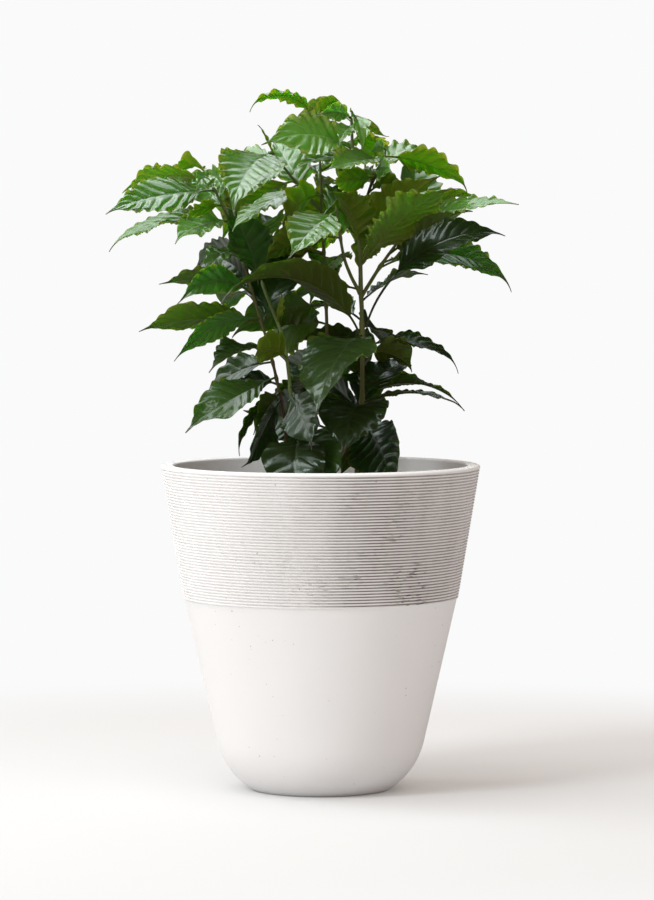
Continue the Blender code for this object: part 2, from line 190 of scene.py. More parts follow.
def lay_floor():
    """A seamless sheet that keeps the planter's soft shadow and turns plain white a short way off."""
    material, tree = start_material("seamless_paper")
    tree.nodes.clear()
    seen = node(tree, "LightPath").outputs["Is Camera Ray"]
    spot = node(tree, "NewGeometry").outputs["Position"]
    reach = node(tree, "VectorMath", {"operation": "LENGTH"}, _0=spot).outputs["Value"]
    far = spread(tree, reach, *FLOOR_FADE, curve="SMOOTHSTEP")
    paper = node(
        tree,
        "BsdfPrincipled",
        Base_Color=FLOOR_PAPER,
        Roughness=0.9,
        Specular_IOR_Level=0.0,
        Emission_Color=FLOOR_GLOW,
        Emission_Strength=times(tree, seen, FLOOR_LIFT),
    )
    plain = node(tree, "Emission", Color=PAPER_WHITE, Strength=1.0)
    mixed = node(tree, "MixShader", _0=times(tree, far, seen), _1=paper.outputs[0], _2=plain.outputs[0])
    node(tree, "OutputMaterial", Surface=mixed.outputs[0])
    corners = 0.5 * FLOOR_SIZE * np.array([(-1, -1, 0), (1, -1, 0), (1, 1, 0), (-1, 1, 0)])
    floor = mesh_object("studio_floor", corners, [(0, 1, 2, 3)], [], [material])


place_camera()
for name, place, aim_height, size, power, colour in (
    ("key_lamp", (-2.0, -1.9, 2.3), 0.35, (1.0, 1.4), 52.0, (0.865, 0.97, 1.0)),
    ("top_lamp", (-0.30, -0.10, 1.60), 0.5, (0.7, 0.7), 7.0, (0.95, 0.99, 1.0)),
    ("side_lamp", (-2.3, 0.8, 1.75), 0.4, (1.2, 1.6), 18.0, (0.95, 0.99, 1.0)),
):
    soft_lamp(name, place, (0.0, 0.0, aim_height), size, power, colour)
light_the_room()
lay_floor()
bpy.context.scene.view_settings.view_transform = "Standard"

# ------------ Planter ------------
# A heavy cast pot of pale stoneware, tapering to a rounded foot. Fine grooves are turned into a band
# round its upper two fifths; the rest is smooth with the small pits that casting leaves.
RIM_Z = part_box("planter")[1].z
RIM_R = 0.150
LIP_ROUND = 0.0022
LIP_SMOOTH = 0.0027
WALL = 0.012
BAND_Z = 0.181
BAND_R = 0.1295
BAND_STEP = 0.0014
BAND_EDGE = 0.0004
GROOVES = 44
GROOVE_STEPS = 8
GROOVE_DEPTH = 0.0011
GROOVE_SHARPNESS = 1.6
FOOT_R = 0.0872
CORNER_R = 0.070
CORNER_Z = 0.045
FLOOR_Z = 0.018
INNER_WALL = ((0.1374, RIM_Z - 0.006), (0.1175, BAND_Z), (0.083, CORNER_Z))
INNER_FOOT = ((0.0805, 0.034), (0.078, 0.026), (0.0745, 0.020))
INNER_FLOOR = ((0.070, FLOOR_Z), (0.035, FLOOR_Z), (0.0, FLOOR_Z))
PLANTER_SIDES = 144
DRAIN_RING = 0.040
DRAIN_R = 0.007
DRAIN_SIDES = 24
RIM_SHARP_DEG = 70.0
STONE_COLOURS = ((0.885, 0.870, 0.865), (0.835, 0.812, 0.800))
GROOVE_CLAY = (0.19, 0.150, 0.132)
PIT_DARK = (0.045, 0.034, 0.030)
# The lining's whiter colour is painted light on the inner wall, which the plant's leaves shade.
LINING_PAINTED_LIGHT = (0.95, 0.945, 0.94)


def vertex_value(made, name, values):
    """Store one number for each vertex as a named attribute that the material reads."""
    layer = made.data.attributes.new(name, "FLOAT", "POINT")
    layer.data.foreach_set("value", np.asarray(values, np.float32).ravel())


def tube_faces(rings, sides):
    """The faces of closed rings of points: quads from each ring to the next and a fan at each end.

    The middle points of the two fans follow the rings' own points.
    """
    ring, side = np.meshgrid(np.arange(rings - 1), np.arange(sides), indexing="ij")
    here, after = ring * sides + side, ring * sides + (side + 1) % sides
    quads = np.stack([here, after, after + sides, here + sides], axis=-1).reshape(-1, 4)
    side = np.arange(sides)
    after, last, foot = (side + 1) % sides, (rings - 1) * sides, np.full(sides, rings * sides)
    fans = np.hstack([(foot, after, side), (foot + 1, last + side, last + after)]).T
    return quads, fans


def turned(radii, heights, sides):
    """A profile carried round the Z axis: point (i, j) is at radius r(i), height z(i), angle 2 pi j / sides.

    The profile starts and ends on the axis, where a fan of triangles closes the pole.
    """
    angles = np.arange(sides) * 2.0 * np.pi / sides
    ring_r, ring_z = radii[1:-1, None], heights[1:-1, None]
    points = np.stack([ring_r * np.cos(angles), ring_r * np.sin(angles), ring_z + 0.0 * angles], axis=-1)
    points = np.vstack([points.reshape(-1, 3), [(0.0, 0.0, heights[0]), (0.0, 0.0, heights[-1])]])
    return points, *tube_faces(len(ring_r), sides)


def arc(centre, radius, start, end, steps):
    """Points on a circle in the (radius, height) plane, both ends included."""
    angles = np.radians(np.linspace(start, end, steps))
    return np.stack([centre[0] + radius * np.cos(angles), centre[1] + radius * np.sin(angles)], axis=-1)


def line(start, end, steps):
    """Evenly spaced points on a straight line, without its last one."""
    return np.linspace(start, end, steps, endpoint=False)


def planter_profile():
    """Foot, rounded corner, plain wall, step, grooved band and lip, then down the inside to the floor.

    In the band the wall is a cone less GROOVE_DEPTH times a narrow cosine valley once a groove. Two more
    arrays say how deep in a groove each point is and whether it belongs to the lining.
    """
    under_band = BAND_R - BAND_STEP
    slope = (under_band - FOOT_R) / BAND_Z
    lean = math.atan(slope)
    centre = (FOOT_R + slope * CORNER_Z - CORNER_R * math.cos(lean), CORNER_Z + CORNER_R * math.sin(lean))
    foot_angle = -math.degrees(math.asin(centre[1] / CORNER_R))
    corner = arc(centre, CORNER_R, foot_angle, -math.degrees(lean), 20)
    rim_centre = (RIM_R - LIP_ROUND, RIM_Z - LIP_ROUND)
    inner_rim = (RIM_R - WALL + LIP_ROUND, RIM_Z - LIP_ROUND)
    steps = np.arange(GROOVES * GROOVE_STEPS + 1) / GROOVE_STEPS
    band_foot = BAND_Z + 2.0 * BAND_EDGE
    band_z = band_foot + (RIM_Z - LIP_SMOOTH - band_foot) * steps / GROOVES
    cone = BAND_R + (RIM_R - BAND_R) * (band_z - BAND_Z) / (RIM_Z - LIP_ROUND - BAND_Z)
    valley = (0.5 - 0.5 * np.cos(2.0 * np.pi * steps)) ** GROOVE_SHARPNESS
    band = np.stack([cone - GROOVE_DEPTH * valley, band_z], axis=-1)
    outside = [
        [(0.0, 0.0)],
        line((0.020, 0.0), corner[0], 5),
        corner[:-1],
        line(corner[-1], (under_band, BAND_Z - 3.0 * BAND_EDGE), 26),
        [(under_band, BAND_Z - 2.0 * BAND_EDGE), (under_band + BAND_EDGE, BAND_Z)],
        [(BAND_R, BAND_Z + BAND_EDGE)],
    ]
    lip = arc(rim_centre, LIP_ROUND, 0.0, 90.0, 6)
    inside = [
        arc(inner_rim, LIP_ROUND, 90.0, 180.0, 6),
        line(INNER_WALL[0], INNER_WALL[1], 20),
        line(INNER_WALL[1], INNER_WALL[2], 10),
        [INNER_WALL[2], *INNER_FOOT, *INNER_FLOOR],
    ]
    outside, inside = np.vstack(outside), np.vstack(inside)
    whole = np.vstack([outside, band, lip, inside])
    depth, lining = np.zeros(len(whole)), np.zeros(len(whole))
    depth[len(outside) : len(outside) + len(band)] = 0.10 + 0.90 * valley
    lining[-len(inside) :] = 1.0
    return whole, depth, lining


def object_place(tree):
    """The output that gives a point's place in the object."""
    return node(tree, "TexCoord").outputs["Object"]


def stored(tree, name):
    """The output that reads a value stored on the vertices."""
    return node(tree, "Attribute", {"attribute_name": name}).outputs["Fac"]


def stretched(tree, place, scale):
    """A place whose height is scaled: under 1 draws a pattern out upright, over 1 flattens it."""
    return node(tree, "Mapping", Vector=place, Scale=(1.0, 1.0, scale)).outputs[0]


def noise(tree, place, scale, detail=3.0, roughness=0.5):
    """The output of a noise texture."""
    inputs = {"Scale": scale, "Detail": detail, "Roughness": roughness}
    return node(tree, "TexNoise", Vector=place, **inputs).outputs["Fac"]


def cells(tree, place, scale):
    """The distance from the nearest of many scattered points."""
    return node(tree, "TexVoronoi", Vector=place, Scale=scale).outputs["Distance"]


def bump(tree, height, distance, strength):
    """The normal of a skin raised by this height, or sunk by it when the strength is below 0."""
    settings = {"invert": strength < 0.0}
    return node(tree, "Bump", settings, Height=height, Distance=distance, Strength=abs(strength)).outputs[0]


def set_shader(tree, **inputs):
    """Give a material's one shader its colours, values and normal."""
    fill(tree.nodes["Principled BSDF"], inputs)


def stoneware():
    """Matt off-white stoneware whose lining is painted whiter, as painted light on the inner wall that the
    plant shades.

    Grey-brown clay shows in the grooves in upright patches, heavier towards the pot's right as painted shade
    on its shaded side. Short dark pits gather in places along them, also more on that side, and a few specks
    dot the plain wall.
    """
    material, tree = start_material("pale_stoneware")
    place, groove = object_place(tree), stored(tree, "groove")
    x, _, z = node(tree, "SeparateXYZ", Vector=place).outputs
    # Painted shade: the clay in the grooves and the pits along them grow heavier towards the pot's right, its
    # shaded side, and ease a little at the right edge.
    shade_side = spread(tree, x, -0.10, 0.05, 0.10, 1.0, "SMOOTHSTEP")
    far_side = spread(tree, x, 0.095, 0.14, 1.0, 0.70)
    patches = spread(tree, noise(tree, stretched(tree, place, 0.30), 11.0), 0.38, 0.60, 0.45, 1.0)
    wear_and_shade_side = times(tree, patches, times(tree, shade_side, far_side))
    low = spread(tree, z, RIM_Z, BAND_Z + 0.03, 0.2, 1.0)
    gathered = times(tree, spread(tree, noise(tree, place, 24.0), 0.45, 0.60), low)
    dashes = spread(tree, noise(tree, stretched(tree, place, 7.0), 110.0), 0.58, 0.62, 0.0, 0.75)
    in_band = maths(tree, "GREATER_THAN", groove, 0.05)
    band_pits = times(tree, times(tree, times(tree, dashes, gathered), wear_and_shade_side), in_band)
    pit_size = spread(tree, noise(tree, place, 31.0), 0.46, 0.72, 0.02, 0.11)
    wall_pits = times(tree, maths(tree, "LESS_THAN", cells(tree, place, 105.0), pit_size), 0.42)
    pits = maths(tree, "MAXIMUM", band_pits, wall_pits)
    body = blend(tree, noise(tree, place, 9.0), *STONE_COLOURS)
    clay_and_painted_shade = blend(tree, times(tree, groove, wear_and_shade_side), body, GROOVE_CLAY)
    pits_clay_and_painted_shade = blend(tree, pits, clay_and_painted_shade, PIT_DARK)
    grain = spread(tree, noise(tree, place, 420.0), 0.0, 1.0, 0.0, 0.35)
    set_shader(
        tree,
        Base_Color=blend(tree, stored(tree, "lining"), pits_clay_and_painted_shade, LINING_PAINTED_LIGHT),
        Roughness=0.72,
        Normal=bump(tree, maths(tree, "SUBTRACT", grain, pits), 0.0004, 0.6),
    )
    return material


def merged(surfaces):
    """Several (points, quads, triangles) surfaces as one, each keeping its own points."""
    points, *faces = zip(*surfaces)
    starts = np.cumsum([0] + [len(own) for own in points[:-1]])
    quads, triangles = (np.vstack([own + start for own, start in zip(kind, starts)]) for kind in faces)
    return np.vstack(points), quads, triangles


def carve(made, cutter):
    """Cut a closed piece out of another for good."""
    cut = made.modifiers.new("cut", "BOOLEAN")
    cut.operation, cut.solver, cut.object = "DIFFERENCE", "EXACT", cutter
    graph = bpy.context.evaluated_depsgraph_get()
    carved = bpy.data.meshes.new_from_object(made.evaluated_get(graph))
    made.modifiers.clear()
    made.data = carved
    carved.set_sharp_from_angle(angle=math.radians(RIM_SHARP_DEG))
    bpy.data.objects.remove(cutter)


def build_planter():
    """The turned shell with four drain holes through its floor."""
    profile, depth, lining = planter_profile()
    points, quads, triangles = turned(profile[:, 0], profile[:, 1], PLANTER_SIDES)
    made = mesh_object("stoneware_planter", points, quads, triangles, [stoneware()])
    for name, values in (("groove", depth), ("lining", lining)):
        vertex_value(made, name, np.append(np.repeat(values[1:-1], PLANTER_SIDES), values[[0, -1]]))
    drill_ends = (-0.01, 2.0 * FLOOR_Z)
    drill = turned(np.array([0.0, DRAIN_R, DRAIN_R, 0.0]), np.repeat(drill_ends, 2), DRAIN_SIDES)
    angles = np.arange(4) * np.pi / 2.0
    shifts = DRAIN_RING * np.stack([np.cos(angles), np.sin(angles), 0.0 * angles], axis=-1)
    holes = merged([(drill[0] + shift, *drill[1:]) for shift in shifts])
    carve(made, mesh_object("drain_holes", *holes, []))
    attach(made, "root")
    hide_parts("planter")


build_planter()

# ------------ Nursery pot ------------
# The thin black plastic pot that the plant was sold in. It stands inside the planter and only its
# rim shows from above. It keeps its CAD shape.
PLASTIC_COLOURS = ((0.016, 0.016, 0.016), (0.045, 0.042, 0.038))


def nursery_plastic():
    """Black blown plastic with a slight sheen and fine scuffs."""
    material, tree = start_material("nursery_plastic")
    scuffs = noise(tree, object_place(tree), 160.0, 4.0)
    gloss = spread(tree, scuffs, 0.0, 1.0, 0.38, 0.62)
    set_shader(tree, Base_Color=blend(tree, scuffs, *PLASTIC_COLOURS), Roughness=gloss)
    return material


nursery_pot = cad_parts["nursery_pot"]
nursery_pot.data.materials.clear()
nursery_pot.data.materials.append(nursery_plastic())

# ------------ Soil ------------
# Dark potting mix of peat and composted bark, slightly heaped to the middle, with loose crumbs lying on it.
SOIL_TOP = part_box("soil")[1].z
SOIL_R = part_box("soil")[1].x
SOIL_DEPTH = 0.030
SOIL_HEAP = 0.005
SOIL_ROUGH = 0.0011
SOIL_DROP = 0.0012
SOIL_GAP = 0.0006
SOIL_INSET = 0.006
RIPPLES = 40
RIPPLE_LENGTHS = (0.004, 0.03)
SOIL_RINGS = 60
SOIL_SIDES = 160
CRUMBS = 420
CRUMB_SIZE = (0.0009, 0.0032)
PEAT_COLOURS = ((0.018, 0.011, 0.007), (0.11, 0.070, 0.042))


def ripple(x, y):
    """A rough height field: a sum of sine waves of random direction, phase and wavelength."""
    rng = np.random.default_rng(11)
    angle = rng.uniform(0.0, 2.0 * np.pi, RIPPLES)
    length = np.exp(rng.uniform(*np.log(RIPPLE_LENGTHS), RIPPLES))
    phase = rng.uniform(0.0, 2.0 * np.pi, RIPPLES)
    run = x[..., None] * np.cos(angle) + y[..., None] * np.sin(angle)
    swell = np.sin(2.0 * np.pi * run / length + phase) * np.sqrt(length)
    return swell.sum(axis=-1) / math.sqrt(RIPPLES * RIPPLE_LENGTHS[1])


def soil_mix():
    """Damp peat: near-black brown with paler fibres, fully matt and rough."""
    material, tree = start_material("potting_mix")
    place = object_place(tree)
    fibre = noise(tree, place, 260.0, 5.0, 0.7)
    height = maths(tree, "ADD", fibre, cells(tree, place, 240.0))
    colour = blend(tree, spread(tree, fibre, 0.42, 0.72), *PEAT_COLOURS)
    set_shader(tree, Base_Color=colour, Roughness=0.95, Normal=bump(tree, height, 0.0012, 0.8))
    return material


def soil_height(x, y):
    """Height of the soil's surface: a flattened dome and a rough ripple that dies out at the pot's wall."""
    reach = np.hypot(x, y) / SOIL_R
    dome = SOIL_TOP - SOIL_HEAP * (1.0 - (1.0 - reach**2) ** 2)
    return dome + SOIL_ROUGH * ripple(x, y) * np.clip(6.0 * (1.0 - reach), 0.0, 1.0) - SOIL_DROP


def build_soil():
    """A disc of rings whose height is the rough dome, closed by a side and a floor that the pot hides."""
    rings = np.arange(SOIL_RINGS, -1, -1) / float(SOIL_RINGS) * (SOIL_R - SOIL_GAP)
    radii = np.concatenate([[0.0, SOIL_R - SOIL_INSET], rings])
    heights = np.repeat([SOIL_TOP - SOIL_DEPTH, SOIL_TOP], [2, len(rings)])
    points, quads, triangles = turned(radii, heights, SOIL_SIDES)
    top = points[:, 2] > SOIL_TOP - 0.5 * SOIL_DEPTH
    points[top, 2] = soil_height(points[top, 0], points[top, 1])
    material = soil_mix()
    made = mesh_object("potting_soil", points, quads, triangles, [material])
    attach(made, "root")
    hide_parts("soil")
    return material


def build_crumbs(material):
    """Loose crumbs: each is a six-sided lump of two rings and two poles, stretched, turned, half sunk."""
    rng = np.random.default_rng(5)
    angle = rng.uniform(0.0, 2.0 * np.pi, CRUMBS)
    reach = np.sqrt(rng.uniform(0.0, 1.0, CRUMBS)) * (SOIL_R - SOIL_INSET)
    x, y = reach * np.cos(angle), reach * np.sin(angle)
    size = rng.uniform(*CRUMB_SIZE, CRUMBS) * rng.choice([1.0, 1.0, 1.5], CRUMBS)
    turn = np.arange(6) * np.pi / 3.0
    shape = [(0.0, 0.0, -0.6)]
    shape += [(math.cos(a), 0.6 * math.sin(a), -0.25) for a in turn]
    shape += [(0.85 * math.cos(a + 0.4), 0.5 * math.sin(a + 0.4), 0.3) for a in turn]
    shape = np.array(shape + [(0.0, 0.0, 0.55)])
    lumps = shape * size[:, None, None] * rng.uniform(0.75, 1.25, (CRUMBS, len(shape), 3))
    spin = rng.uniform(0.0, 2.0 * np.pi, CRUMBS)[:, None]
    turned_x = lumps[..., 0] * np.cos(spin) - lumps[..., 1] * np.sin(spin)
    turned_y = lumps[..., 0] * np.sin(spin) + lumps[..., 1] * np.cos(spin)
    raised = lumps[..., 2] + soil_height(x, y)[:, None]
    points = np.stack([turned_x + x[:, None], turned_y + y[:, None], raised], axis=-1).reshape(-1, 3)
    place = np.array([*range(1, 13), 0, 13])
    starts = (np.arange(CRUMBS) * len(shape))[:, None, None]
    quads, caps = (place[faces] + starts for faces in tube_faces(2, 6))
    made = mesh_object("soil_crumbs", points, quads.reshape(-1, 4), caps.reshape(-1, 3), [material])
    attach(made, "root")


build_crumbs(build_soil())

# ------------ Stems ------------
# Five thin upright stems, woody and brown low down and green towards their tips, swollen into a
# joint wherever a pair of leaves grows. Two of them carry side shoots.
STEM_SIDES = 18
STEM_STEP = 0.002
STEM_FLUTE = 0.05
STEM_SOFT = 8
MOST_CUTS = 400
LEAF_CUTS = 10
JOINT_SWELL = 0.45
JOINT_LENGTH = 0.0030
# How far from the last centre a stem's cut and a shoot's may reach, how near the stem a shoot starts, and
# how near a leaf's foot stands.
STEM_REACH = 0.0046
SHOOT_REACH = 0.0042
SHOOT_START = 0.0015
FOOT_REACH = 0.0075
BROWN_BARK = (0.100, 0.082, 0.016)
RED_BARK = (0.080, 0.026, 0.016)
STREAK_SHADE = (0.62, 0.60, 0.58)
GREEN_SKIN = (0.085, 0.120, 0.030)
# Foot radius, tip radius, greenness at the foot and at the tip, and redness.
STEM_GIRTH = {
    "main_stem": (0.0027, 0.0013, 0.20, 0.95, 0.10),
    "centre_stem": (0.0022, 0.0010, 0.05, 0.90, 0.75),
    "left_stem": (0.0017, 0.0010, 0.00, 0.90, 1.00),
    "front_stem": (0.0017, 0.0015, 0.90, 1.50, 0.00),
    "back_stem": (0.0024, 0.0012, 0.15, 0.90, 0.30),
}
# For each side shoot: its stem, the tip that it is followed down from, and its foot and tip radius.
SHOOTS = {
    "right_shoot": ("main_stem", (0.097, 0.044, 0.543), 0.0018, 0.0010),
    "left_shoot": ("main_stem", (0.014, -0.028, 0.549), 0.0017, 0.0010),
    "upper_shoot": ("centre_stem", (-0.047, 0.010, 0.600), 0.0015, 0.0009),
}


def solid_arrays(name):
    """A CAD solid's points, each once, and its triangles."""
    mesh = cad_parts[name].data
    points = np.empty(3 * len(mesh.vertices), np.float32)
    mesh.vertices.foreach_get("co", points)
    mesh.calc_loop_triangles()
    corners = np.empty(3 * len(mesh.loop_triangles), np.int32)
    mesh.loop_triangles.foreach_get("vertices", corners)
    once, index = np.unique(np.round(points.reshape(-1, 3).astype(float), 6), axis=0, return_inverse=True)
    return once, index.reshape(-1)[corners].reshape(-1, 3)


def follow(solid, start, step, reach):
    """Centres of a thin solid's level cuts, one step after another from a start point.

    A cut's points are where the edges cross the level; its centre is the mean of those within reach.
    """
    points, faces = solid
    edges = np.concatenate([faces[:, [0, 1]], faces[:, [1, 2]], faces[:, [2, 0]]])
    ends = points[edges]
    centres, drift = [np.array(start, float)], np.zeros(3)
    for _ in range(MOST_CUTS):
        level = centres[-1][2] + step
        above = ends[:, :, 2] - level
        crossing = above[:, 0] * above[:, 1] < 0.0
        share = above[crossing, 0] / (above[crossing, 0] - above[crossing, 1])
        cut = ends[crossing, 0] + share[:, None] * (ends[crossing, 1] - ends[crossing, 0])
        near = cut[np.hypot(*(cut - centres[-1] - drift)[:, :2].T) < reach]
        if not len(near):
            break
        centre = near.mean(axis=0)
        drift = 0.5 * (centre - centres[-1]) + 0.5 * drift
        centres.append(centre)
    return np.array(centres)


def smoothed(values, width):
    """Each row averaged with its neighbours under a raised-cosine window; the ends carry on in a line."""
    window = np.hanning(2 * width + 3)[1:-1]
    window /= window.sum()
    before = 2.0 * values[0] - values[1 : width + 1][::-1]
    after = 2.0 * values[-1] - values[-width - 1 : -1][::-1]
    padded = np.vstack([before, values, after])
    return np.stack([np.convolve(column, window, "valid") for column in padded.T], axis=-1)


def unit(rows):
    """Each row scaled to length one."""
    return rows / np.linalg.norm(rows, axis=-1, keepdims=True)


def leaf_rings(name):
    """A leaf solid's rings of four corners from foot to tip, and its tip point.

    The tip is the point from which every step along the edges reaches exactly four new ones.
    """
    points, faces = solid_arrays(name)
    touching = np.eye(len(points), dtype=int)
    for a, b in ((0, 1), (1, 2), (2, 0)):
        touching[faces[:, a], faces[:, b]] = touching[faces[:, b], faces[:, a]] = 1
    reached, steps = np.eye(len(points), dtype=bool), np.zeros((len(points), len(points)), int)
    for step in range(1, LEAF_CUTS + 1):
        grown = (reached @ touching) > 0
        steps[grown & ~reached] = step
        reached = grown
    counts = np.stack([(steps == step).sum(axis=1) for step in range(1, LEAF_CUTS + 1)], axis=-1)
    tip = int(np.flatnonzero((counts == 4).all(axis=1))[0])
    return np.stack([points[steps[tip] == step] for step in range(LEAF_CUTS, 0, -1)]), points[tip]


LEAF_RINGS = {name: leaf_rings(name) for name in sorted(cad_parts) if name.startswith("leaf_")}


def bark():
    """Young coffee bark: thin brown cork in fine upright streaks that gives way to smooth green skin."""
    material, tree = start_material("coffee_bark")
    place = object_place(tree)
    streak = noise(tree, stretched(tree, place, 0.12), 900.0)
    brown = blend(tree, stored(tree, "red"), BROWN_BARK, RED_BARK)
    streaked = blend(tree, streak, brown, STREAK_SHADE, "MULTIPLY")
    ragged = maths(tree, "MULTIPLY_ADD", noise(tree, place, 70.0), 0.5, -0.25)
    green = maths(tree, "ADD", stored(tree, "green"), ragged)
    set_shader(
        tree,
        Base_Color=blend(tree, green, streaked, GREEN_SKIN),
        Roughness=0.6,
        Specular_IOR_Level=0.25,
        Normal=bump(tree, streak, 0.0003, 0.5),
    )
    return material


def stem_surface(path, foot_r, tip_r, joints):
    """A round tube along a path: its radius tapers evenly, swells at each joint and closes at the tip.

    Point (i, j) is the path's point i plus radius r(i) towards angle 2 pi j / sides in the plane across it.
    """
    tangents = unit(np.gradient(path, axis=0))
    across = unit(np.cross(tangents, (0.0, 1.0, 0.0)))
    over = np.cross(tangents, across)
    share = np.linspace(0.0, 1.0, len(path))
    radius = foot_r + (tip_r - foot_r) * share
    if len(joints):
        near = np.exp(-(((path[:, 2:3] - joints) / JOINT_LENGTH) ** 2)).max(axis=1)
        radius = radius * (1.0 + JOINT_SWELL * near)
    radius = radius * np.sqrt(np.clip((1.0 - share) * len(path) / 3.0, 0.04, 1.0))
    angles = np.arange(STEM_SIDES) * 2.0 * np.pi / STEM_SIDES
    girth = radius[:, None] * (1.0 + STEM_FLUTE * np.cos(2.0 * angles))
    ring = np.cos(angles)[:, None] * across[:, None] + np.sin(angles)[:, None] * over[:, None]
    points = path[:, None] + girth[..., None] * ring
    return np.vstack([points.reshape(-1, 3), path[:1], path[-1:]]), *tube_faces(len(path), STEM_SIDES)


def leaf_feet(path):
    """Heights at which leaves leave a stem: those of the leaf feet that stand close to its path."""
    feet = np.array([rings[0].mean(axis=0) for rings, _ in LEAF_RINGS.values()])
    near = np.linalg.norm(feet[:, None] - path, axis=-1).min(axis=1) < FOOT_REACH
    return feet[near, 2]


def build_stems():
    """Every stem with its side shoots, as one piece each. Gives the path of every stem and shoot."""
    material = bark()
    paths = {}
    for name, (foot_r, tip_r, foot_green, tip_green, redness) in STEM_GIRTH.items():
        solid = solid_arrays(name)
        tip = solid[0][solid[0][:, 2] > solid[0][:, 2].max() - 0.0005].mean(axis=0)
        trunk = smoothed(follow(solid, tip, -STEM_STEP, STEM_REACH)[::-1], STEM_SOFT)
        paths[name] = trunk
        surfaces = [stem_surface(trunk, foot_r, tip_r, leaf_feet(trunk))]
        for shoot, (carrier, shoot_tip, low_r, high_r) in SHOOTS.items():
            if carrier != name:
                continue
            branch = follow(solid, shoot_tip, -0.5 * STEM_STEP, SHOOT_REACH)[::-1]
            apart = np.linalg.norm(branch[:, None] - trunk, axis=-1).min(axis=1)
            branch = smoothed(branch[np.flatnonzero(apart < SHOOT_START)[-1] :], STEM_SOFT)
            paths[shoot] = branch
            surfaces.append(stem_surface(branch, low_r, high_r, leaf_feet(branch)))
        points, quads, triangles = merged(surfaces)
        made = mesh_object(f"bark_{name}", points, quads, triangles, [material])
        height = (points[:, 2] - SOIL_TOP) / (trunk[-1, 2] - SOIL_TOP)
        ripeness = np.clip(height, 0.0, 1.0) ** 1.3
        vertex_value(made, "green", foot_green + (tip_green - foot_green) * ripeness)
        vertex_value(made, "red", np.full(len(points), redness))
        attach(made, "root")
        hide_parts(name)
    return paths


stem_paths = build_stems()

# ------------ Leaves ------------
# Glossy leathery blades on short stalks. The skin bulges between sunken side veins, the edge is
# ruffled in step with them, and the end is drawn out into a thin drip tip. Old leaves are dark
# blue-green and young ones light yellow-green; the underside is duller and more olive.
LEAF_STEP = 0.00125
LEAF_COLUMNS = 23
COLUMN_CROWD = 1.15
STALK_SHARE = 0.09
LONG_STALKS = {"leaf_main_08": 0.34}
LEAF_TWIST_DEG = 7.0
LEAF_BOW = 0.018
SLOW_WAVE = 0.12
NOTCH_DEPTH = 0.55
EDGE_SHARP_DEG = 75.0
STALK_ROOT = 0.0022
STALK_WIDE = 0.0012
STALK_THICK = 0.0010
BLADE_THICK = 0.00020
DRIP_WIDE = 0.0008
DRIP_CURL = 0.0045
# Share of the blade's length, and of its greatest half-width, from stalk to drip tip.
OUTLINE_ALONG = (0.0, 0.04, 0.10, 0.18, 0.28, 0.38, 0.50, 0.62, 0.72, 0.80, 0.86, 0.90, 0.95, 1.0)
OUTLINE_WIDE = (0.02, 0.18, 0.46, 0.74, 0.94, 1.00, 0.96, 0.81, 0.58, 0.34, 0.165, 0.08, 0.045, 0.02)
OUTLINE_SOFT = 29
# Shifts of single leaves' tone from the one their height gives: below 0 darker and older in colour, above 0
# lighter and yellower. On leaf_main_10 and leaf_back_08 the lightening is painted backlight, light shining
# through them.
OWN_TONE_AND_BACKLIGHT = {
    "leaf_left_02": 0.20, "leaf_left_05": 0.30, "leaf_left_06": 0.25, "leaf_left_13": -0.75,
    "leaf_left_shoot_02": -0.40, "leaf_upper_shoot_02": -0.35, "leaf_main_10": 0.50,
    "leaf_back_02": 0.30, "leaf_back_08": 0.30,
}
VEIN_SPACING = 0.0112
VEIN_SLANT = 0.20
VEIN_OFFSET = 0.22
VEIN_WIDTH = 0.085
RIB_WIDTH = 0.0011
RIB_GROOVE = 0.0005
RIB_KEEL = 0.0010
OLD_LEAF_Z = 0.42
YOUNG_LEAF_Z = 0.58
# For each slot: the height below which leaves have it, how much light goes in, how deep, and its gloss.
LEAF_SLOTS = {
    "leaf_dark": (0.437, 0.15, 0.0030, 0.40),
    "leaf_green": (0.542, 0.28, 0.0040, 0.60),
    "leaf_bright": (9.0, 0.45, 0.0055, 1.00),
}
SEE_THROUGH = (0.34, 1.0, 0.08)
SHEEN_TINT = (0.76, 1.0, 0.80)
TIP_BROWN = (0.050, 0.026, 0.014)
# Old and young blade colour, old and young vein colour, roughness, and how high the veins stand, where
# below 0 is sunk.
UPPER_SKIN = (
    ((0.0128, 0.021, 0.005), (0.084, 0.180, 0.028)),
    ((0.024, 0.037, 0.010), (0.168, 0.295, 0.092)),
    *(0.33, -0.5),
)
UNDER_SKIN = (
    ((0.027, 0.032, 0.002), (0.098, 0.120, 0.003)),
    ((0.043, 0.053, 0.006), (0.150, 0.195, 0.016)),
    *(0.55, 0.6),
)


def leaf_group():
    """Shader group: a coffee leaf's vein pattern, from its stored vein count and place across the blade."""
    group = bpy.data.node_groups.new("coffee_leaf_veins", "ShaderNodeTree")
    group.interface.new_socket("Vein Width", in_out="INPUT", socket_type="NodeSocketFloat")
    for output in ("Veins", "Mottle", "Relief", "Tip"):
        group.interface.new_socket(output, in_out="OUTPUT", socket_type="NodeSocketFloat")
    vein_width = group.nodes.new("NodeGroupInput").outputs[0]
    away = maths(group, "PINGPONG", stored(group, "vein"), 0.5)
    side = spread(group, away, 0.0, vein_width, 1.0, 0.0)
    middle = maths(group, "ABSOLUTE", stored(group, "across"))
    rib = spread(group, middle, 0.015, 0.055, 1.0, 0.0)
    fade = spread(group, middle, 0.55, 1.0, 0.8, 0.0)
    veins = maths(group, "MAXIMUM", times(group, side, fade), rib)
    place = object_place(group)
    relief = maths(group, "MULTIPLY_ADD", cells(group, place, 420.0), -0.35, veins)
    mottle = noise(group, place, 38.0, 4.0)
    outputs = {"Veins": veins, "Mottle": mottle, "Relief": relief, "Tip": stored(group, "drip")}
    fill(group.nodes.new("NodeGroupOutput"), outputs)
    return group


